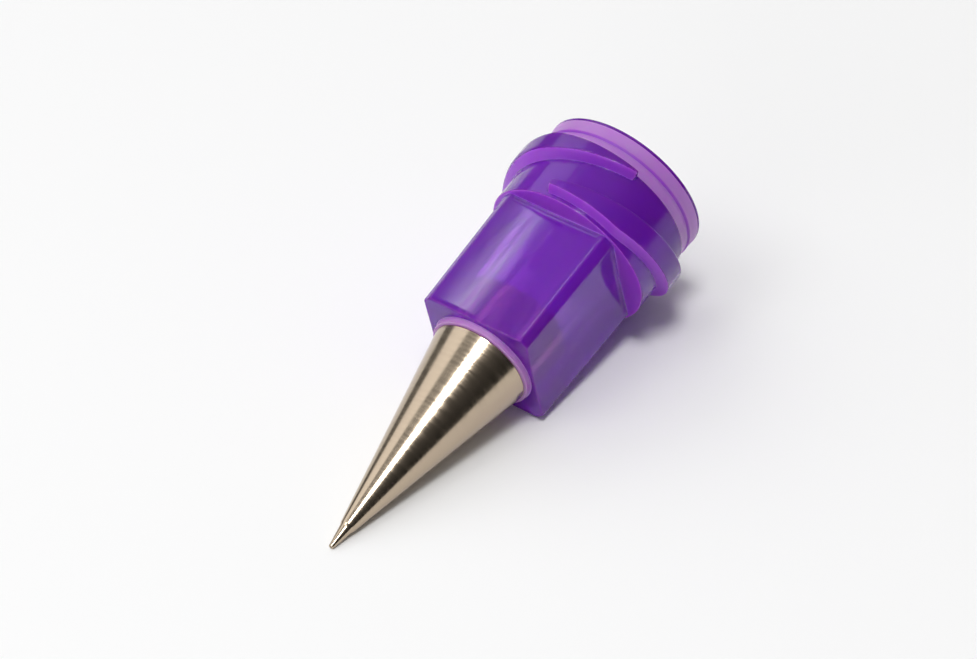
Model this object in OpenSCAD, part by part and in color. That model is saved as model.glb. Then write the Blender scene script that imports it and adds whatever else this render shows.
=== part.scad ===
// Precision dispensing tip with a female luer-lock hub.
//
// Two pieces: a moulded plastic hub and a turned metal nozzle seated in its front.
// Both are drawn along one axis, with the nozzle's mouth at the origin and the hub's
// socket opening towards +Z. lying() then lays the tip down as it comes to rest on a
// table: on the nozzle's mouth and on the front of the luer-lock lugs, one flat of the
// hub facing down. Everything is in millimetres.

/* [Nozzle] */
// Exposed length of the metal cone, from its mouth to the hub
cone_length = 9.78; // [6:0.1:16]
// Diameter of the cone where it meets the hub
cone_base_d = 4.1; // [3.8:0.05:4.4]
// Outer diameter at the mouth
mouth_d = 0.2; // [0.18:0.01:0.4]
// Diameter of the orifice
orifice_d = 0.1; // [0.06:0.01:0.14]
// Length of the straight orifice before the passage widens
orifice_length = 0.5; // [0.2:0.1:1]
// Length of the slim end ahead of the main taper
slim_end_length = 0.95; // [0.4:0.05:2]
// Diameter of the slim end where it meets the step
slim_end_d = 0.52; // [0.42:0.02:0.54]
// Diameter of the main taper just behind the step
taper_start_d = 0.62; // [0.56:0.02:0.8]
// Axial length of the step between the slim end and the main taper
step_length = 0.12; // [0.05:0.01:0.3]
// Diameter of the shank that sits in the hub
shank_d = 3.3; // [2.9:0.05:3.5]
// Diameter of the passage where it opens into the luer socket
passage_entry_d = 2.5; // [1.6:0.1:2.6]

/* [Hub] */
// Outer diameter of the ring around the nozzle at the front face
ring_d = 4.5; // [4.45:0.01:4.7]
// How far the ring stands out of the front face
ring_height = 0.25; // [0.1:0.05:0.6]
// Distance across the flats at the front face
across_flats = 4.84; // [4.75:0.01:5.1]
// Distance across the round corner lands at the front face
across_corners = 6.45; // [6.2:0.05:6.6]
// Mould draft of the flats and lands, in degrees
draft = 1.1; // [0.5:0.1:1.5]
// Length of the square section
grip_length = 5.65; // [4:0.05:9]
// Diameter of the round barrel under the lugs
barrel_d = 6.9; // [6.84:0.01:7.1]
// Diameter of the rim at its front, where the mould halves end
rim_front_d = 6.76; // [6.7:0.01:6.8]
// Diameter of the rim at the hub's rear face
rim_rear_d = 6.9; // [6.8:0.01:7]
// Length of the rim behind the lugs
rim_length = 1.3; // [0.8:0.05:2]
// Bevel on the outer edge of the rim
rim_bevel = 0.08; // [0.04:0.01:0.15]
// Radial clearance between the nozzle's shank and its hole in the hub
shank_clearance = 0.01; // [0.005:0.005:0.03]

/* [Luer-lock thread] */
// Number of starts
thread_starts = 2; // [1:1:2]
// Diameter over the crests of the lugs
crest_d = 7.8; // [7.73:0.01:7.83]
// Advance of a lug in one full turn
thread_lead = 5; // [4.8:0.1:5.2]
// Axial width of a full crest
crest_width = 0.95; // [0.7:0.05:1.1]
// Slope of the lugs' flanks, in degrees
flank_angle = 28; // [20:1:35]
// Distance from the shoulder to the front plane of the lugs
lug_setback = 0.27; // [0.1:0.01:1]
// Axial length of the zone that the lugs are cut to
lug_zone = 2.47; // [2.35:0.01:2.8]
// Angle at which the first lug starts, from the flat that faces down
lug_start = -1; // [-20:1:20]
// Width of crest that is left where a plane cuts off a lug's end
lug_end_width = 0.25; // [0.05:0.01:0.3]

/* [Luer socket] */
// Diameter of the socket at the hub's rear face
socket_mouth_d = 4.3; // [4.27:0.005:4.32]
// Taper on the diameter, in percent
socket_taper = 6; // [5.5:0.1:6.5]
// Depth of the socket
socket_depth = 7.5; // [7:0.1:8.5]
// Bevel at the socket's mouth
socket_bevel = 0.2; // [0.05:0.05:0.4]

/* [Hidden] */
$fn = 96;
// Roundoff allowance for cuts that run out of a face.
overcut = 1;
// How far the lugs' roots are sunk into the barrel.
lug_sink = 0.15;
// Angle between two sections of a lug.
lug_step = 4;

// Places along the axis, from the nozzle's mouth.
front_z = cone_length + ring_height;
shoulder_z = front_z + grip_length;
lug_front_z = shoulder_z + lug_setback;
lug_rear_z = lug_front_z + lug_zone;
hub_end_z = lug_rear_z + rim_length;
socket_floor_z = hub_end_z - socket_depth;

// Half sizes of the square section at its front and at the shoulder.
draft_gain = grip_length * tan(draft);
flat_front = across_flats / 2;
flat_rear = flat_front + draft_gain;
corner_front_r = across_corners / 2;
corner_rear_r = corner_front_r + draft_gain;

// Radii of the luer socket.
socket_mouth_r = socket_mouth_d / 2;
socket_floor_r = socket_mouth_r - socket_depth * socket_taper / 200;

// A lug's section: its crest radius, its sunk root radius and the slope between them.
// It sweeps through the angle at which the planes leave the end width of its crest.
crest_r = crest_d / 2;
root_r = barrel_d / 2 - lug_sink;
flank_run = (crest_r - root_r) * tan(flank_angle);
lug_mid_z = (lug_front_z + lug_rear_z) / 2;
lug_sweep = 360 * (lug_zone + crest_width - 2 * lug_end_width) / thread_lead;
lug_mid_angle = lug_start + lug_sweep / 2;

// The tip lies on its mouth and on whichever of these points, given as [distance along
// the axis, depth under it], makes the steepest line with the mouth's edge.
supports = [
    [front_z, flat_front],
    [shoulder_z, barrel_d / 2],
    [lug_front_z, crest_r],
    [hub_end_z, rim_rear_d / 2]
];
lean = max([for (s = supports) atan((s[1] - mouth_d / 2) / s[0])]);
lowest = mouth_d / 2 * cos(lean);
back_end = hub_end_z * cos(lean) + (rim_rear_d / 2 - rim_bevel) * sin(lean);
front_end = -mouth_d / 2 * sin(lean);

// Lays the upright tip down, tip towards -X, centred over the origin and on Z = 0.
module lying() {
    translate([-(front_end + back_end) / 2, 0, lowest])
        rotate([0, 90 - lean, 0])
            children();
}

// Solid of revolution from [radius, height] points.
module turned(profile) {
    rotate_extrude()
        polygon(profile);
}

// Cuts one drafted flat on the +X side of the front section, up to the shoulder.
module flat_cut() {
    outside = crest_r + overcut;
    lead_in = overcut * tan(draft);
    rotate([90, 0, 0])
        linear_extrude(height = 2 * outside, center = true)
            polygon([
                [flat_front - lead_in, front_z - overcut],
                [outside, front_z - overcut],
                [outside, shoulder_z],
                [flat_rear, shoulder_z]
            ]);
}

// The square front section: a drafted round core with four flats, which leave a
// narrow round land at each corner.
module grip() {
    difference() {
        turned([
            [0, front_z],
            [corner_front_r, front_z],
            [corner_rear_r, shoulder_z],
            [0, shoulder_z]
        ]);
        for (side = [0:90:270])
            rotate(side) flat_cut();
    }
}

// The round rear: the barrel under the lugs and the rim behind them, which widens
// to the rear.
module barrel() {
    turned([
        [0, shoulder_z],
        [barrel_d / 2, shoulder_z],
        [barrel_d / 2, lug_rear_z],
        [rim_front_d / 2, lug_rear_z],
        [rim_rear_d / 2, hub_end_z - rim_bevel],
        [rim_rear_d / 2 - rim_bevel, hub_end_z],
        [0, hub_end_z]
    ]);
}

// The ring around the nozzle's base, which it seats against.
module front_ring() {
    translate([0, 0, cone_length])
        cylinder(d = ring_d, h = ring_height);
}

// Keeps a height within the zone between the lugs' front and rear planes.
function in_zone(z) = min(max(z, lug_front_z), lug_rear_z);

// A point at an angle, radius and height.
function polar(angle, r, z) = [r * cos(angle), r * sin(angle), z];

// The four corners of a lug's section at an angle: front root, front crest, rear crest
// and rear root. The lug climbs with the thread and the two planes cut it off.
function lug_section(angle) =
    let (z = lug_mid_z + thread_lead * (angle - lug_mid_angle) / 360)
    [
        polar(angle, root_r, in_zone(z - crest_width / 2 - flank_run)),
        polar(angle, crest_r, in_zone(z - crest_width / 2)),
        polar(angle, crest_r, in_zone(z + crest_width / 2)),
        polar(angle, root_r, in_zone(z + crest_width / 2 + flank_run))
    ];

// One lug of the luer-lock thread, swept through its sections.
module lug() {
    steps = round(lug_sweep / lug_step);
    corners = 4;
    points = [
        for (i = [0:steps]) each lug_section(lug_start + lug_sweep * i / steps)
    ];
    sides = [
        for (i = [0:steps - 1], k = [0:corners - 1])
            let (
                a = i * corners + k,
                b = i * corners + (k + 1) % corners,
                c = b + corners,
                d = a + corners
            )
            each [[a, b, c], [a, c, d]]
    ];
    start_cap = [[3, 2, 1], [3, 1, 0]];
    last = steps * corners;
    end_cap = [[last, last + 1, last + 2], [last, last + 2, last + 3]];
    polyhedron(points, concat(sides, start_cap, end_cap));
}

// The tapered luer socket, with a bevel at its mouth.
module luer_socket() {
    slope = socket_taper / 200;
    turned([
        [0, socket_floor_z],
        [socket_floor_r, socket_floor_z],
        [socket_mouth_r - socket_bevel * slope, hub_end_z - socket_bevel],
        [socket_mouth_r + socket_bevel, hub_end_z],
        [socket_mouth_r + socket_bevel, hub_end_z + overcut],
        [0, hub_end_z + overcut]
    ]);
}

// The straight hole for the nozzle's shank.
module shank_hole() {
    translate([0, 0, cone_length - overcut])
        cylinder(
            d = shank_d + 2 * shank_clearance,
            h = socket_floor_z - cone_length + 2 * overcut
        );
}

// The moulded hub, in one piece.
module hub() {
    color("darkorchid")
        lying()
            difference() {
                union() {
                    grip();
                    barrel();
                    front_ring();
                    for (i = [0:thread_starts - 1])
                        rotate(i * 360 / thread_starts) lug();
                }
                luer_socket();
                shank_hole();
            }
}

// The turned nozzle: slim end, step, main taper and shank around one tapered passage.
module nozzle() {
    color("rosybrown")
        lying()
            turned([
                [orifice_d / 2, 0],
                [mouth_d / 2, 0],
                [slim_end_d / 2, slim_end_length],
                [taper_start_d / 2, slim_end_length + step_length],
                [cone_base_d / 2, cone_length],
                [shank_d / 2, cone_length],
                [shank_d / 2, socket_floor_z],
                [passage_entry_d / 2, socket_floor_z],
                [orifice_d / 2, orifice_length]
            ]);
}

hub();
nozzle();
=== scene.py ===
import math

import bpy
import numpy as np
from bpy.props import (
    FloatProperty,
    FloatVectorProperty,
    IntProperty,
    PointerProperty,
    StringProperty,
)
from mathutils import Matrix, Vector


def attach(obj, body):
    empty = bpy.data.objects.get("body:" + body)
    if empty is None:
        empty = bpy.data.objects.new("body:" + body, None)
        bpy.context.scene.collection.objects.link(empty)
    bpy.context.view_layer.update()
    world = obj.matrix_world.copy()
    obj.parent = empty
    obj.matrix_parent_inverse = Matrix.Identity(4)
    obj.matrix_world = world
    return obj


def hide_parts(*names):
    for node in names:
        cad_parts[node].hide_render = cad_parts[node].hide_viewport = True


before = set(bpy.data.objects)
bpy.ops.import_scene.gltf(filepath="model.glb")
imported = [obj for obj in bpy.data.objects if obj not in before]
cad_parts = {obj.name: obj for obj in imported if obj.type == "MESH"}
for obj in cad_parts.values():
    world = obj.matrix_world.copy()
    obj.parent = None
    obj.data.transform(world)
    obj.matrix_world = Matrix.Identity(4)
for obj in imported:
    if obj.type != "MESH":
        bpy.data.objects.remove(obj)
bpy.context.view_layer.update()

bl_info = {
    "name": "Precision dispensing tip",
    "version": (1, 0, 0),
    "blender": (4, 5, 0),
    "location": "3D View > Sidebar > Dispensing Tip",
    "description": "Builds a tapered metal nozzle in a luer-lock hub, with its stage",
    "category": "Object",
}

MM = 0.001
ROOT = "root"


def length(name, description, mm):
    """A length property whose default is given in millimetres."""
    return FloatProperty(
        name=name, description=description, default=mm * MM, min=0.0, precision=5, unit="LENGTH"
    )


def angle(name, description, degrees):
    """An angle property whose default is given in degrees."""
    return FloatProperty(
        name=name, description=description, default=math.radians(degrees), subtype="ANGLE"
    )


def colour(name, description, code):
    """A colour property that holds an sRGB hex code."""
    return StringProperty(name=name, description=description, default=code)


# --------------------------------------------------------------------------- settings


class TipNozzleSettings(bpy.types.PropertyGroup):
    """The turned metal nozzle."""

    cone_length: length("Cone length", "From the mouth to the hub", 9.78)
    base_diameter: length("Base diameter", "Of the cone where it meets the hub", 4.1)
    mouth_diameter: length("Mouth diameter", "Over the mouth's rim", 0.2)
    orifice_diameter: length("Orifice diameter", "Of the hole in the mouth", 0.1)
    orifice_length: length("Orifice length", "Before the passage widens", 0.5)
    slim_length: length("Slim end length", "Of the slim end ahead of the step", 0.95)
    slim_diameter: length("Slim end diameter", "Of the slim end at the step", 0.52)
    taper_diameter: length("Taper diameter", "Of the main taper just behind the step", 0.62)
    step_length: length("Step length", "Between the slim end and the main taper", 0.12)
    shank_diameter: length("Shank diameter", "Of the shank inside the hub", 3.3)
    passage_diameter: length("Passage diameter", "Where the passage opens in the socket", 2.5)
    metal: colour("Metal", "Colour of the polished metal", "#BCAB96")


class TipHubSettings(bpy.types.PropertyGroup):
    """The moulded hub, without its lugs and socket."""

    ring_diameter: length("Ring diameter", "Of the ring around the nozzle's base", 4.34)
    ring_height: length("Ring height", "Out of the front face", 0.25)
    across_flats: length("Across flats", "At the front face", 4.84)
    across_corners: length("Across corners", "Over the round lands at the front face", 6.45)
    draft: angle("Draft", "Of the flats and lands", 1.1)
    grip_length: length("Grip length", "Of the square section", 5.65)
    barrel_diameter: length("Barrel diameter", "Under the lugs", 6.9)
    rim_front_diameter: length("Rim front diameter", "Just behind the lugs", 6.76)
    rim_rear_diameter: length("Rim rear diameter", "At the rear face", 6.9)
    rim_length: length("Rim length", "Behind the lugs", 1.3)
    rim_neck: length("Rim neck", "Of the straight part of the rim, up to its ridge", 0.62)
    rim_bevel: length("Rim bevel", "On the rim's outer edge", 0.08)
    edge_radius: length("Edge radius", "Of the moulded outer edges", 0.07)
    sink: length("Sink", "Hollow that the flats cool into", 0.04)
    root_radius: length("Root radius", "Of the fillet under the shoulder", 0.1)
    plastic: colour("Plastic", "Colour of the glossy plastic", "#A830F8")
    # Paler than the plastic: painted light, for the light that comes through the thin rim and
    # falls on the ring.
    matt: colour("Matt plastic", "Colour of the rim and ring, which are matt", "#DC9CFF")
    # Brighter and pinker than the plastic: painted light, for the light from the front on the
    # faces that face it.
    satin_painted_light: colour("Satin plastic", "Colour of the shoulder and lug flanks", "#B850F0")
    resin: colour("Resin", "Colour of the clear resin, before the dye", "#F0DCFF")
    dye: colour("Dye", "Colour that the dye lets through", "#C83FE2")
    dye_strength: FloatProperty(
        name="Dye strength", description="Absorption in a metre of plastic", default=850.0, min=0.0
    )


class TipThreadSettings(bpy.types.PropertyGroup):
    """The double-start luer-lock lugs."""

    starts: IntProperty(name="Starts", description="Number of lugs", default=2, min=1, max=2)
    crest_diameter: length("Crest diameter", "Over the lugs", 7.8)
    lead: length("Lead", "Advance of a lug in one turn", 5.0)
    crest_width: length("Crest width", "Along the axis", 0.95)
    flank_angle: angle("Flank angle", "Slope of the lugs' flanks", 22.0)
    wall_taper: length("Wall taper", "Of the lugs' front wall, over its height", 0.12)
    setback: length("Setback", "From the shoulder to the lugs' front plane", 0.27)
    zone: length("Zone", "Between the lugs' front and rear planes", 2.47)
    start_angle: angle("Start angle", "Of the first lug, from the flat that faces down", -7.0)
    sweep: angle("Sweep", "Of each lug around the barrel", 219.0)
    middle_angle: angle("Middle angle", "Where the first lug crosses the middle of its zone", 94.2)
    run_out: length("Run-out", "Extra slope of the first lug's front flank at one side", 0.25)
    run_out_angle: angle("Run-out angle", "Where that extra slope is longest", 115.0)
    run_out_reach: angle("Run-out reach", "From there to where it ends, each way", 50.0)


class TipSocketSettings(bpy.types.PropertyGroup):
    """The tapered luer socket."""

    mouth_diameter: length("Mouth diameter", "At the rear face", 4.3)
    taper: FloatProperty(
        name="Taper", description="On the diameter", default=6.0, subtype="PERCENTAGE"
    )
    depth: length("Depth", "Of the socket", 7.5)
    bevel: length("Bevel", "At the socket's mouth", 0.2)


class TipStageSettings(bpy.types.PropertyGroup):
    """The table, the lights and the camera."""

    table: colour("Table", "Colour of the matt table", "#F8F8F8")
    azimuth: angle("Azimuth", "Of the camera, from -Y towards +X", -53.686)
    elevation: angle("Elevation", "Of the camera above the table", 41.55)
    roll: angle("Roll", "Of the camera about its own axis", -0.735)
    distance: length("Distance", "From the camera to the point it looks at", 248.22)
    aim: FloatVectorProperty(
        name="Aim",
        description="Point that the camera looks at",
        default=(-0.056 * MM, -0.146 * MM, 3.852 * MM),
        subtype="XYZ",
        unit="LENGTH",
    )
    lens: FloatProperty(
        name="Focal length", description="In millimetres", default=241.57, unit="CAMERA"
    )
    sensor: FloatProperty(
        name="Sensor width", description="In millimetres", default=36.0, unit="CAMERA"
    )
    table_size: length("Table size", "Along each side", 8000.0)


class TipSettings(bpy.types.PropertyGroup):
    """All the tip's settings."""

    nozzle: PointerProperty(type=TipNozzleSettings)
    hub: PointerProperty(type=TipHubSettings)
    thread: PointerProperty(type=TipThreadSettings)
    socket: PointerProperty(type=TipSocketSettings)
    stage: PointerProperty(type=TipStageSettings)


# ------------------------------------------------------------------------- placement


class Places:
    """Heights along the tip's axis, from the nozzle's mouth, and how the tip lies."""

    def __init__(self, tip):
        nozzle, hub, thread, socket = tip.nozzle, tip.hub, tip.thread, tip.socket
        self.front = nozzle.cone_length + hub.ring_height
        self.shoulder = self.front + hub.grip_length
        self.lug_front = self.shoulder + thread.setback
        self.lug_rear = self.lug_front + thread.zone
        self.end = self.lug_rear + hub.rim_length
        self.floor = self.end - socket.depth
        mouth_r = nozzle.mouth_diameter / 2
        supports = [
            (self.front, hub.across_flats / 2),
            (self.shoulder, hub.barrel_diameter / 2),
            (self.lug_front, thread.crest_diameter / 2),
            (self.end, hub.rim_rear_diameter / 2),
        ]
        self.lean = max(math.atan((r - mouth_r) / z) for z, r in supports)
        rim_r = hub.rim_rear_diameter / 2 - hub.rim_bevel
        back = self.end * math.cos(self.lean) + rim_r * math.sin(self.lean)
        front = -mouth_r * math.sin(self.lean)
        self.lying = Matrix.Translation(
            (-(front + back) / 2, 0.0, mouth_r * math.cos(self.lean))
        ) @ Matrix.Rotation(math.pi / 2 - self.lean, 4, "Y")


# --------------------------------------------------------------------- mesh building


def smooth_min(a, b, k):
    """The lower of a and b, with the corner between them rounded over k."""
    h = np.maximum(k - np.abs(a - b), 0.0) / k
    return np.minimum(a, b) - h * h * k / 4


def smooth_max(a, b, k):
    """The higher of a and b, with the corner between them rounded over k."""
    return -smooth_min(-a, -b, k)


def spaced(low, high, count, marks):
    """count values from low to high, closer together near each (place, width, weight)."""
    fine = 2400
    x = np.linspace(low, high, fine)
    density = np.ones_like(x)
    for place, width, weight in marks:
        density += weight * np.exp(-(((x - place) / width) ** 2))
    total = np.concatenate([[0.0], np.cumsum((density[1:] + density[:-1]) / 2)])
    return np.interp(np.linspace(0.0, total[-1], count), total, x)


def arc(centre, radius, start, stop, steps=5):
    """(radius, height) points on an arc, angles in degrees."""
    return [
        (
            centre[0] + radius * math.cos(math.radians(a)),
            centre[1] + radius * math.sin(math.radians(a)),
        )
        for a in np.linspace(start, stop, steps)
    ]


def polar_solid(name, angles, rows, matrix):
    """A closed solid from rows of (radii, heights) round an axis that matrix lays down."""
    count = len(angles)
    cosines, sines = np.cos(angles), np.sin(angles)
    points = []
    for r, z in rows:
        radius, height = np.broadcast_to(r, count), np.broadcast_to(z, count)
        points.append(np.stack([radius * cosines, radius * sines, height], axis=1))
    turn = np.array(matrix)
    verts = np.concatenate(points) @ turn[:3, :3].T + turn[:3, 3]
    faces = []
    for i in range(len(rows)):
        a0, b0 = i * count, ((i + 1) % len(rows)) * count
        for j in range(count):
            k = (j + 1) % count
            faces.append((a0 + j, a0 + k, b0 + k, b0 + j))
    mesh = bpy.data.meshes.new(name)
    mesh.from_pydata(verts.tolist(), [], faces)
    mesh.validate()
    mesh.update()
    piece = bpy.data.objects.new(name, mesh)
    bpy.context.collection.objects.link(piece)
    if signed_volume(verts, faces) < 0:
        mesh.flip_normals()
    mesh.shade_smooth()
    return piece


def signed_volume(verts, faces):
    """Six times the volume inside the faces, negative if they point inwards."""
    f = np.array(faces)
    a, b, c, d = (verts[f[:, i]] for i in range(4))
    return float(
        np.einsum("ij,ij->", a, np.cross(b, c)) + np.einsum("ij,ij->", a, np.cross(c, d))
    )


# ------------------------------------------------------------------------- materials


def linear(code):
    """An sRGB hex code as a linear colour with alpha 1."""
    channels = [int(code[i : i + 2], 16) / 255 for i in (1, 3, 5)]
    rgb = [c / 12.92 if c <= 0.04045 else ((c + 0.055) / 1.055) ** 2.4 for c in channels]
    return (*rgb, 1.0)


def add(tree, kind, settings=None, values=None, links=None):
    """Adds a node with its settings, socket values and links from other nodes' outputs."""
    node = tree.nodes.new(kind)
    for key, value in (settings or {}).items():
        setattr(node, key, value)
    for key, value in (values or {}).items():
        node.inputs[key].default_value = value
    for key, output in (links or {}).items():
        tree.links.new(output, node.inputs[key])
    return node


def blank(name):
    """A new material with an empty node tree."""
    material = bpy.data.materials.new(name)
    material.use_nodes = True
    material.node_tree.nodes.clear()
    return material


def along_axis(tree, lean, scale):
    """Object coordinates turned so that Z runs along the tip, then scaled."""
    place = add(tree, "ShaderNodeTexCoord")
    turned = add(
        tree,
        "ShaderNodeMapping",
        values={"Rotation": (0.0, lean - math.pi / 2, 0.0)},
        links={"Vector": place.outputs["Object"]},
    )
    return add(
        tree,
        "ShaderNodeMapping",
        values={"Scale": scale},
        links={"Vector": turned.outputs["Vector"]},
    )


def polished_turned_metal(code, lean):
    """Stainless steel, turned and then polished."""
    # It mirrors the room in long pale and dark bands, which faint rings make a little soft.
    material = blank("polished_turned_steel")
    tree = material.node_tree
    # The rings are the tool's marks. The real ones are a few hundredths of a millimetre apart,
    # too fine to show, so they are drawn about 0.1 mm apart along the cone.
    rings = along_axis(tree, lean, (0.9 / MM, 0.9 / MM, 9.0 / MM))
    marks = add(
        tree,
        "ShaderNodeTexNoise",
        values={"Scale": 1.0, "Detail": 3.0, "Roughness": 0.55},
        links={"Vector": rings.outputs["Vector"]},
    )
    bump = add(
        tree,
        "ShaderNodeBump",
        values={"Strength": 0.25, "Distance": 0.02 * MM},
        links={"Height": marks.outputs["Fac"]},
    )
    polish = add(
        tree,
        "ShaderNodeMapRange",
        values={"From Min": 0.35, "From Max": 0.65, "To Min": 0.14, "To Max": 0.24},
        links={"Value": marks.outputs["Fac"]},
    )
    shader = add(
        tree,
        "ShaderNodeBsdfPrincipled",
        values={"Base Color": linear(code), "Metallic": 1.0},
        links={"Roughness": polish.outputs["Result"], "Normal": bump.outputs["Normal"]},
    )
    add(tree, "ShaderNodeOutputMaterial", links={"Surface": shader.outputs["BSDF"]})
    return material


# The hub comes out of its mould in one plastic with three finishes. Each has its material's name,
# the setting with its colour, the share of light that it scatters, and its lowest and highest
# roughness. Polished steel gives the glossy skin, with sharp highlights and dim forms behind it.
# Spark-eroded steel gives the matt one, which looks frosted; its paler colour is painted light,
# for the light that comes through the thin rim and falls on the ring. Stoned steel gives the satin
# one, which looks even; its brighter, pinker colour is painted light, for the light from the front
# on the faces that face it.
GLOSSY, MATT_PAINTED_LIGHT, SATIN_PAINTED_LIGHT = range(3)
FINISHES = (
    ("moulded_violet_polypropylene", "plastic", 0.3, (0.08, 0.14)),
    ("matt_painted_light_violet_polypropylene", "matt", 0.6, (0.28, 0.42)),
    ("satin_painted_light_violet_polypropylene", "satin_painted_light", 0.6, (0.28, 0.4)),
)


def moulded_polypropylene(name, hub, code, lean, milky, roughness):
    """Dyed polypropylene, injection moulded; milky is the share of light that it scatters."""
    # It glows violet where light comes through it and is deep purple where it is thick.
    material = blank(name)
    tree = material.node_tree
    # The melt flows along the hub and leaves streaks about 0.3 mm wide and 2 mm long.
    streaks = along_axis(tree, lean, (3.0 / MM, 3.0 / MM, 0.45 / MM))
    flow = add(
        tree,
        "ShaderNodeTexNoise",
        values={"Scale": 1.0, "Detail": 2.0},
        links={"Vector": streaks.outputs["Vector"]},
    )
    bump = add(
        tree,
        "ShaderNodeBump",
        values={"Strength": 0.1, "Distance": 0.005 * MM},
        links={"Height": flow.outputs["Fac"]},
    )
    gloss = add(
        tree,
        "ShaderNodeMapRange",
        values={
            "From Min": 0.3,
            "From Max": 0.7,
            "To Min": roughness[0],
            "To Max": roughness[1],
        },
        links={"Value": flow.outputs["Fac"]},
    )
    # The resin itself is nearly clear; the dye in it takes the colour out.
    resin = add(
        tree,
        "ShaderNodeBsdfPrincipled",
        values={
            "Base Color": linear(hub.resin),
            "IOR": 1.49,
            "Specular IOR Level": 0.3,
            "Transmission Weight": 1.0,
        },
        links={"Roughness": gloss.outputs["Result"], "Normal": bump.outputs["Normal"]},
    )
    # Fine crystals make it milky: that share of the light scatters just under the skin.
    # The matt and satin finishes give this a paler and a pinker colour than the plastic's own,
    # which are painted light.
    haze = add(
        tree,
        "ShaderNodeBsdfPrincipled",
        values={
            "Base Color": linear(code),
            "IOR": 1.49,
            "Specular IOR Level": 0.3,
            "Subsurface Weight": 1.0,
            "Subsurface Radius": (1.0, 0.4, 1.0),
            "Subsurface Scale": 0.5 * MM,
        },
        links={"Roughness": gloss.outputs["Result"], "Normal": bump.outputs["Normal"]},
    )
    shader = add(
        tree,
        "ShaderNodeMixShader",
        values={0: milky},
        links={1: resin.outputs["BSDF"], 2: haze.outputs["BSDF"]},
    )
    # In 1.5 mm of plastic the dye takes about 70 % of the green, 40 % of the red and 25 % of the
    # blue, so what comes through is violet.
    dye = add(
        tree,
        "ShaderNodeVolumeAbsorption",
        values={"Color": linear(hub.dye), "Density": hub.dye_strength},
    )
    add(
        tree,
        "ShaderNodeOutputMaterial",
        links={"Surface": shader.outputs["Shader"], "Volume": dye.outputs["Volume"]},
    )
    return material


def matt_table(code):
    """White laminate, pressed with a matt face."""
    # It is an even white that shows a soft shadow and no reflection.
    material = blank("matt_white_table")
    tree = material.node_tree
    shader = add(
        tree,
        "ShaderNodeBsdfPrincipled",
        values={"Base Color": linear(code), "Roughness": 0.9, "Specular IOR Level": 0.2},
    )
    add(tree, "ShaderNodeOutputMaterial", links={"Surface": shader.outputs["BSDF"]})
    return material


# ------------------------------------------------------------------------ operators


class TIP_OT_nozzle(bpy.types.Operator):
    """Build the turned metal nozzle"""

    bl_idname = "tip.nozzle"
    bl_label = "Nozzle"

    def execute(self, context):
        tip = context.scene.tip
        s, at = tip.nozzle, Places(tip)
        edge, rim = 0.02 * MM, 0.01 * MM
        columns, row_gap, hold = 256, 0.25 * MM, 0.02 * MM
        profile = [
            (s.orifice_diameter / 2, 0.0),
            (s.mouth_diameter / 2 - rim, 0.0),
            (s.mouth_diameter / 2, rim),
            (s.slim_diameter / 2, s.slim_length),
            (s.taper_diameter / 2, s.slim_length + s.step_length),
            (s.base_diameter / 2, s.cone_length - edge),
            (s.base_diameter / 2 - edge, s.cone_length),
            (s.shank_diameter / 2, s.cone_length),
            (s.shank_diameter / 2, at.floor),
            (s.passage_diameter / 2, at.floor),
            (s.orifice_diameter / 2, s.orifice_length),
        ]
        rows = []
        for (r0, z0), (r1, z1) in zip(profile, profile[1:] + profile[:1]):
            run = math.hypot(r1 - r0, z1 - z0)
            steps = max(1, round(run / row_gap))
            # Rows close to both ends keep each edge crisp under smooth shading.
            inset = min(hold / run, 0.25)
            stops = [0.0, inset] + [t / steps for t in range(1, steps)] + [1 - inset]
            for t in stops:
                rows.append((r0 + (r1 - r0) * t, z0 + (z1 - z0) * t))
        angles = np.linspace(0.0, 2 * math.pi, columns, endpoint=False)
        piece = polar_solid("nozzle_turned", angles, rows, at.lying)
        piece.data.materials.append(polished_turned_metal(s.metal, at.lean))
        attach(piece, ROOT)
        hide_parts("nozzle")
        return {"FINISHED"}


def grip_radius(hub, at, angles, z):
    """Radius of the square section with its round corner lands, at each angle."""
    off_flat = (angles + math.pi / 4) % (math.pi / 2) - math.pi / 4
    gain = (z - at.front) * math.tan(hub.draft)
    hollow = hub.sink * np.cos(2 * off_flat) ** 2
    flat = (hub.across_flats / 2 + gain - hollow) / np.cos(off_flat)
    land = hub.across_corners / 2 + gain
    blend = 0.05 * MM
    return smooth_min(flat, land, blend)


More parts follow.
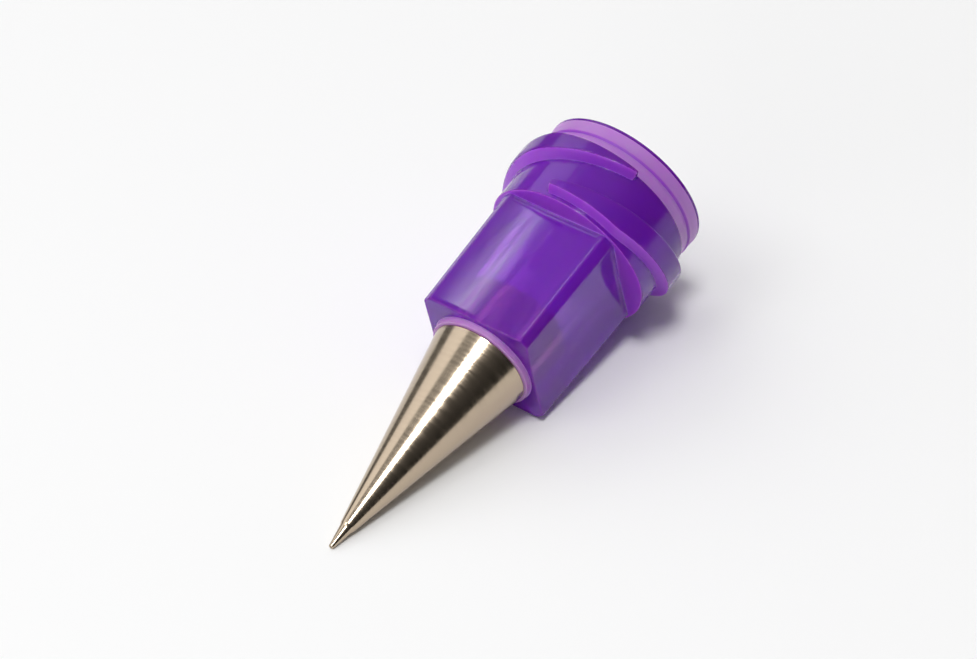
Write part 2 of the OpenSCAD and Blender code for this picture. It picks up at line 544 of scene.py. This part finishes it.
class LugShape:
    """Height of the lugs over the barrel, by angle and distance along the axis."""

    # Share of a lug's height over which its edges round off.
    softness = 0.35
    # How far outside the lugs' front and rear planes the walls have their feet.
    wall_lead, rear_lead = 0.09 * MM, 0.03 * MM
    # A lug's ends: the share of its height right at the end, the length in which the full height
    # would come, and how far past the end the lug is still worked out.
    end_height, end_slope, end_overrun = 0.4, 0.09 * MM, 0.12 * MM
    # Their rounding in plan: its length, how far past the end it starts, and how much narrower
    # the lug is there.
    end_rounding, end_shift, end_narrowing = 0.28 * MM, 0.1 * MM, 0.16 * MM
    # How wide a band rows close up in, and how much, at the front wall, rear wall and flanks.
    at_wall, at_rear, at_flank = (0.05 * MM, 9.0), (0.035 * MM, 14.0), (0.06 * MM, 7.0)

    def __init__(self, tip, at):
        self.thread = thread = tip.thread
        self.height = (thread.crest_diameter - tip.hub.barrel_diameter) / 2
        self.half = thread.crest_width / 2
        self.run = self.height * math.tan(thread.flank_angle)
        self.middle = (at.lug_front + at.lug_rear) / 2
        # The front wall leans back from its root; the rear wall is square to the axis.
        self.wall = at.lug_front - self.wall_lead
        self.rear = at.lug_rear + self.rear_lead

    def along(self, angle, lug):
        """Angle from that lug's start, from a little before it."""
        before = math.radians(60)
        turned = angle - self.thread.start_angle - lug * 2 * math.pi / self.thread.starts
        return (turned + before) % (2 * math.pi) - before

    def centre(self, along):
        """Where the middle of the crest would be with no walls to cut it."""
        turned = along + self.thread.start_angle - self.thread.middle_angle
        return self.middle + self.thread.lead * turned / (2 * math.pi)

    def front_run(self, along, lug):
        """Length of the front flank, which the first lug draws out at one side."""
        if lug:
            return self.run
        turned = along + self.thread.start_angle - self.thread.run_out_angle
        side = abs(turned) / self.thread.run_out_reach
        return self.run + self.thread.run_out * max(0.0, 1 - side * side) ** 2

    def marks(self, angle):
        """Where the rows close up along the axis at this angle."""
        found = [
            (self.wall, *self.at_wall),
            (self.wall + self.thread.wall_taper, *self.at_wall),
            (self.rear, *self.at_rear),
        ]
        # Past a lug's ends the rows open up again over this angle.
        fade = math.radians(14)
        width, most = self.at_flank
        for lug in range(self.thread.starts):
            along = self.along(angle, lug)
            over = max(-along, along - self.thread.sweep, 0.0)
            if over >= fade:
                continue
            weight = most * (1 - over / fade)
            centre = self.centre(along)
            front = self.front_run(along, lug) - self.run
            edges = (
                -self.half + front,
                -self.half - self.run,
                self.half,
                self.half + self.run,
            )
            found += [(centre + edge, width, weight) for edge in edges]
        return found

    def rise(self, angle, z):
        """Height of the lugs at one angle, for many z."""
        best = np.zeros_like(z)
        soft = self.softness
        for lug in range(self.thread.starts):
            along = self.along(angle, lug)
            from_end = min(along, self.thread.sweep - along) * self.thread.crest_diameter / 2
            if from_end < -self.end_overrun:
                continue
            off = z - self.centre(along)
            x = min(max((from_end + self.end_shift) / self.end_rounding, 0.0), 1.0)
            narrow = self.end_narrowing * (1 - math.sqrt(1 - (1 - x) ** 2))
            reach = self.half + self.run - narrow
            # Each term climbs from 0 at the foot of one side of the lug to 1 at its crest.
            q = smooth_min(
                (reach - off) / self.run,
                (reach + off) / self.front_run(along, lug),
                soft,
            )
            wall = (z - self.wall - narrow / 2) / self.thread.wall_taper
            q = smooth_min(q, wall, soft)
            q = smooth_min(q, (self.rear - z) / self.rear_lead, soft)
            end = np.full_like(z, self.end_height + from_end / self.end_slope)
            q = smooth_min(q, end, soft)
            q = smooth_max(np.zeros_like(z), smooth_min(np.ones_like(z), q, soft), soft / 2)
            best = np.maximum(best, q * self.height)
        return best


# Satin where the skin faces the front, glossy elsewhere: the satin colour there is painted light,
# brighter and pinker, for the light from the front.
FRONT_SATIN_PAINTED_LIGHT = len(FINISHES)


class HubSkin:
    """The hub's closed skin, as rows of points round the axis.

    The rows run from the hole for the shank over the ring, the front face, the square section,
    the shoulder, the barrel and the rim, and back in through the socket. A straight wall has rows
    only near its ends, where they keep its edges crisp under smooth shading.
    """

    columns = 576
    # From an edge to the row that keeps it crisp.
    hold = 0.03 * MM
    # The hole closes on the shank, so that no film of air shows between them.
    hole_grip = 0.03 * MM
    ring_fillet = 0.05 * MM
    # Least width of the front face, and how far outside the ring's fillet it starts.
    sliver = 0.01 * MM
    quarter_turn = np.linspace(0, math.pi / 2, 6)
    barrel_rows = 96
    # Faces of the shoulder and the barrel that point to the front by more than this are satin,
    # whose brighter, pinker colour is painted light from the front.
    front_cosine = 0.6

    def __init__(self, tip, at):
        self.tip, self.hub, self.at = tip, tip.hub, at
        self.hole_r = tip.nozzle.shank_diameter / 2 - self.hole_grip
        self.ring_r = tip.hub.ring_diameter / 2
        self.barrel_r = tip.hub.barrel_diameter / 2
        # Columns close up along both edges of each corner land, 41 degrees from a flat's middle.
        marks = [
            (math.pi / 2 * n + side * math.radians(41.0), math.radians(1.6), 2.5)
            for n in range(5)
            for side in (-1, 1)
        ]
        self.angles = spaced(0.0, 2 * math.pi, self.columns + 1, marks)[:-1]
        self.rows, self.finishes = [], []
        self.ring()
        self.front_face()
        self.square_section()
        self.shoulder()
        self.barrel()
        self.rim()
        self.socket()

    def add(self, rows, finish=GLOSSY):
        """Adds (radius, height) rows; finish is that of the strips leading up to them."""
        self.rows += rows
        self.finishes += [finish] * len(rows)

    def grip(self, z):
        """Radius of the square section at this height, at each angle."""
        return grip_radius(self.hub, self.at, self.angles, z)

    def ring(self):
        """The hole for the shank and the ring around the nozzle's base."""
        front, fillet = self.at.front, self.ring_fillet
        top = front - self.hub.ring_height
        self.add([(self.hole_r, self.at.floor - self.hold), (self.hole_r, top + self.hold)])
        # The ring's top and edges are matt, in the paler colour that is painted light falling on
        # the ring.
        radii = np.linspace(self.hole_r, self.ring_r - fillet, 5)[:-1]
        self.add([(r, top) for r in radii], MATT_PAINTED_LIGHT)
        self.add(arc((self.ring_r - fillet, top + fillet), fillet, -90, 0), MATT_PAINTED_LIGHT)
        self.add(arc((self.ring_r + fillet, front - fillet), fillet, 180, 90), MATT_PAINTED_LIGHT)

    def front_face(self):
        """The front face, out to the square outline, and its rounded edge."""
        front, edge = self.at.front, self.hub.edge_radius
        inner = self.ring_r + self.ring_fillet + self.sliver
        # Where the flat passes close to the ring the face narrows, but never folds.
        least = inner + self.sliver
        outer = np.maximum(self.grip(front) - edge, least)
        self.add([(inner + (outer - inner) * t, front) for t in (0.02, 0.97, 1.0)])
        for a in self.quarter_turn[1:]:
            z = front + edge * (1 - math.cos(a))
            r = np.maximum(self.grip(z), least + edge)
            self.add([(r - edge * (1 - math.sin(a)), z)])

    def square_section(self):
        """The flats and corner lands."""
        low = self.at.front + self.hub.edge_radius
        high = self.at.shoulder - self.hub.root_radius
        heights = [low + (high - low) * t for t in (0.04, 0.28, 0.52, 0.76, 0.96, 1.0)]
        self.add([(self.grip(z), z) for z in heights])

    def shoulder(self):
        """The fillet under the shoulder, the shoulder and the barrel's front edge."""
        at, side_r = self.at.shoulder, self.grip(self.at.shoulder)
        # Over the corner lands the step is low, and both curves shrink to fit in it.
        room = 0.4 * (self.barrel_r - side_r)
        fillet = np.minimum(self.hub.root_radius, room)
        lip = np.minimum(self.hub.edge_radius * 0.7, room)
        for a in self.quarter_turn:
            row = (side_r + fillet * (1 - math.cos(a)), at - fillet * (1 - math.sin(a)))
            self.add([row], FRONT_SATIN_PAINTED_LIGHT)
        for a in self.quarter_turn:
            row = (self.barrel_r - lip * (1 - math.sin(a)), at + lip * (1 - math.cos(a)))
            self.add([row], FRONT_SATIN_PAINTED_LIGHT)

    def barrel(self):
        """The barrel with the lugs; its rows close up along every edge of a lug."""
        lugs = LugShape(self.tip, self.at)
        self.barrel_end = lugs.rear
        low = self.at.shoulder + self.hub.edge_radius
        heights = np.empty((self.barrel_rows, self.columns))
        radii = np.empty_like(heights)
        for j, a in enumerate(self.angles):
            z = spaced(low, lugs.rear, self.barrel_rows, lugs.marks(a))
            heights[:, j] = z
            radii[:, j] = self.barrel_r + lugs.rise(a, z)
        self.add(list(zip(radii[1:], heights[1:])), FRONT_SATIN_PAINTED_LIGHT)

    def rim(self):
        """The rim: a straight neck, a low ridge where the mould's parts meet, then a flare."""
        hub, first, end = self.hub, self.barrel_end, self.at.end
        neck_r, rear_r = hub.rim_front_diameter / 2, hub.rim_rear_diameter / 2
        # The fillet behind the lugs, then, from the neck's surface, the groove's depth, the
        # ridge's height and the height at which the flare starts.
        root = 0.03 * MM
        groove, crest, step = 0.035 * MM, 0.045 * MM, 0.025 * MM
        self.add([(neck_r + 0.01 * MM, first + 0.005 * MM)])
        # The rim's matt strips have the paler colour: painted light, for the light that comes
        # through its thin wall.
        self.add(arc((neck_r + root, first + root), root, 250, 180, 4), MATT_PAINTED_LIGHT)
        ridge = self.at.lug_rear + hub.rim_neck
        for z in np.linspace(first + 0.09 * MM, ridge - 0.1 * MM, 4):
            self.add([(neck_r, z)], MATT_PAINTED_LIGHT)
        for before in (0.06 * MM, 0.03 * MM):
            self.add([(neck_r - groove, ridge - before)], MATT_PAINTED_LIGHT)
        # The ridge is satin, in its brighter painted-light colour.
        self.add([(neck_r + crest, ridge)], SATIN_PAINTED_LIGHT)
        run = end - hub.rim_bevel - ridge
        start = neck_r + step
        # The rim's outer edge stays glossy.
        for t, finish in ((0.08, SATIN_PAINTED_LIGHT), (0.3, MATT_PAINTED_LIGHT), (0.88, MATT_PAINTED_LIGHT), (0.97, GLOSSY)):
            self.add([(start + (rear_r - start) * t, ridge + run * t)], finish)
        edge_r = rear_r - hub.rim_bevel
        self.add(arc((edge_r, end - hub.rim_bevel), hub.rim_bevel, 0, 90, 6))
        self.add([(edge_r - self.hold, end)])

    def socket(self):
        """The rear face, the luer socket and its floor."""
        socket, end, floor, hold = self.tip.socket, self.at.end, self.at.floor, self.hold
        mouth_r, bevel = socket.mouth_diameter / 2, socket.bevel
        # The taper is on the diameter, in percent.
        slope = socket.taper / 100 / 2
        lip_r = mouth_r + bevel
        # The rear face's matt strips have the paler colour, which is painted light.
        self.add([(lip_r + 2 * hold, end), (lip_r + hold, end)], MATT_PAINTED_LIGHT)
        # The bevel, with both its edges eased.
        self.add([(lip_r - 0.01 * MM, end - 0.02 * MM)])
        self.add([(mouth_r + 0.02 * MM, end - bevel + 0.02 * MM)])
        self.add([(mouth_r - slope * bevel, end - bevel - 0.01 * MM)])
        # The socket's outer half is satin, in its brighter painted-light colour.
        for t, finish in ((0.03, GLOSSY), (0.545, SATIN_PAINTED_LIGHT), (0.995, GLOSSY)):
            z = end - bevel + (floor - end + bevel) * t
            self.add([(mouth_r - slope * (end - z), z)], finish)
        floor_r = mouth_r - slope * socket.depth
        radii = (floor_r, floor_r - hold, self.hole_r + hold, self.hole_r)
        self.add([(r, floor) for r in radii])

    def paint(self, piece, forward):
        """Gives every strip of the piece its finish, and the satin colour, which is painted light,
        to shoulder and barrel faces that face the front.
        """
        for face in piece.data.polygons:
            row = face.index // self.columns + 1
            finish = self.finishes[row % len(self.rows)]
            if finish == FRONT_SATIN_PAINTED_LIGHT:
                # Faces that face the front get the satin colour, which is painted light from the
                # front.
                finish = SATIN_PAINTED_LIGHT if face.normal.dot(forward) > self.front_cosine else GLOSSY
            face.material_index = finish


class TIP_OT_hub(bpy.types.Operator):
    """Build the moulded luer-lock hub"""

    bl_idname = "tip.hub"
    bl_label = "Hub"

    def execute(self, context):
        tip = context.scene.tip
        hub, at = tip.hub, Places(tip)
        skin = HubSkin(tip, at)
        piece = polar_solid("hub_moulded", skin.angles, skin.rows, at.lying)
        for name, shade, milky, roughness in FINISHES:
            code = getattr(hub, shade)
            piece.data.materials.append(
                moulded_polypropylene(name, hub, code, at.lean, milky, roughness)
            )
        skin.paint(piece, at.lying.to_3x3() @ Vector((0.0, 0.0, -1.0)))
        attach(piece, ROOT)
        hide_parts("hub")
        return {"FINISHED"}


def aimed(location, target):
    """A matrix at location whose -Z looks at target."""
    turn = (Vector(target) - Vector(location)).to_track_quat("-Z", "Y")
    return Matrix.Translation(location) @ turn.to_matrix().to_4x4()


def direction(azimuth, elevation):
    """Unit vector towards a compass angle from +X, counter-clockwise, and a height."""
    a, e = math.radians(azimuth), math.radians(elevation)
    return Vector((math.cos(e) * math.cos(a), math.cos(e) * math.sin(a), math.sin(e)))


# The soft boxes: compass angle and height in degrees, then distance, width and height in metres,
# and the radiance, which sets how bright each looks in the polished metal.
LAMPS = (
    ("key_box", -147, 74, 0.5, 0.12, 0.12, 24.5),
    ("left_box", 152, 54, 0.5, 0.2, 0.2, 3.3),
    ("side_panel", 90, 41, 0.4, 0.6, 0.26, 1.0),
    ("small_window", 62.5, 64.3, 0.39, 0.022, 0.022, 9.0),
    ("front_panel", 178, 16, 0.4, 0.4, 0.16, 1.4),
)
LAMP_TARGET = (0.0, 0.0, 3.0 * MM)


def area_lamp(name, azimuth, elevation, distance, width, height, radiance):
    """A soft box that faces the tip and looks equally bright at any size."""
    data = bpy.data.lights.new(name, "AREA")
    data.shape = "RECTANGLE"
    data.size, data.size_y = width, height
    data.energy = radiance * math.pi * width * height
    lamp = bpy.data.objects.new(name, data)
    bpy.context.collection.objects.link(lamp)
    lamp.matrix_world = aimed(direction(azimuth, elevation) * distance, LAMP_TARGET)


def studio_world():
    """A room with a pale side and a dark side, which polished metal shows."""
    world = bpy.data.worlds.new("studio_room")
    bpy.context.scene.world = world
    world.use_nodes = True
    tree = world.node_tree
    tree.nodes.clear()
    place = add(tree, "ShaderNodeTexCoord")
    # The middle of the dark side, near the floor; away from it the walls get brighter.
    dark = direction(-97, 15)
    facing = add(
        tree,
        "ShaderNodeVectorMath",
        settings={"operation": "DOT_PRODUCT"},
        values={1: tuple(dark)},
        links={0: place.outputs["Generated"]},
    )
    level = add(
        tree,
        "ShaderNodeMapRange",
        settings={"interpolation_type": "SMOOTHSTEP"},
        values={"From Min": 0.3, "From Max": 0.92, "To Min": 0.38, "To Max": 0.08},
        links={"Value": facing.outputs["Value"]},
    )
    # The walls are darker than the ceiling.
    height = add(tree, "ShaderNodeSeparateXYZ", links={0: place.outputs["Generated"]})
    ceiling = add(
        tree,
        "ShaderNodeMapRange",
        settings={"interpolation_type": "SMOOTHSTEP"},
        values={"From Min": 0.2, "From Max": 0.8, "To Min": 0.45, "To Max": 1.0},
        links={"Value": height.outputs["Z"]},
    )
    strength = add(
        tree,
        "ShaderNodeMath",
        settings={"operation": "MULTIPLY"},
        links={0: level.outputs["Result"], 1: ceiling.outputs["Result"]},
    )
    light = add(
        tree,
        "ShaderNodeBackground",
        values={"Color": linear("#FFFFFF")},
        links={"Strength": strength.outputs["Value"]},
    )
    add(tree, "ShaderNodeOutputWorld", links={"Surface": light.outputs["Background"]})


class TIP_OT_stage(bpy.types.Operator):
    """Set up the table, the lights and the camera"""

    bl_idname = "tip.stage"
    bl_label = "Stage"

    def execute(self, context):
        scene = context.scene
        s = scene.tip.stage
        half = s.table_size / 2
        mesh = bpy.data.meshes.new("table")
        mesh.from_pydata(
            [(-half, -half, 0), (half, -half, 0), (half, half, 0), (-half, half, 0)],
            [],
            [(0, 1, 2, 3)],
        )
        table = bpy.data.objects.new("table", mesh)
        context.collection.objects.link(table)
        mesh.materials.append(matt_table(s.table))

        studio_world()
        for lamp in LAMPS:
            area_lamp(*lamp)

        data = bpy.data.cameras.new("camera")
        data.sensor_width = s.sensor
        data.lens = s.lens
        data.dof.use_dof = False
        camera = bpy.data.objects.new("camera", data)
        context.collection.objects.link(camera)
        towards = Vector(
            (
                math.cos(s.elevation) * math.sin(s.azimuth),
                -math.cos(s.elevation) * math.cos(s.azimuth),
                math.sin(s.elevation),
            )
        )
        aim = Vector(s.aim)
        camera.matrix_world = aimed(aim + towards * s.distance, aim) @ Matrix.Rotation(
            s.roll, 4, "Z"
        )
        scene.camera = camera
        scene.view_settings.view_transform = "Standard"
        return {"FINISHED"}


class TIP_PT_panel(bpy.types.Panel):
    """The tip's operators"""

    bl_label = "Dispensing Tip"
    bl_idname = "TIP_PT_panel"
    bl_space_type = "VIEW_3D"
    bl_region_type = "UI"
    bl_category = "Dispensing Tip"

    def draw(self, context):
        for step in STEPS:
            self.layout.operator(step.bl_idname)


STEPS = (TIP_OT_stage, TIP_OT_nozzle, TIP_OT_hub)
CLASSES = (
    TipNozzleSettings,
    TipHubSettings,
    TipThreadSettings,
    TipSocketSettings,
    TipStageSettings,
    TipSettings,
    *STEPS,
    TIP_PT_panel,
)


def register():
    for cls in CLASSES:
        bpy.utils.register_class(cls)
    bpy.types.Scene.tip = PointerProperty(type=TipSettings)


def unregister():
    del bpy.types.Scene.tip
    for cls in reversed(CLASSES):
        bpy.utils.unregister_class(cls)


def main():
    register()
    bpy.ops.tip.stage()
    bpy.ops.tip.nozzle()
    bpy.ops.tip.hub()


if __name__ == "__main__":
    main()
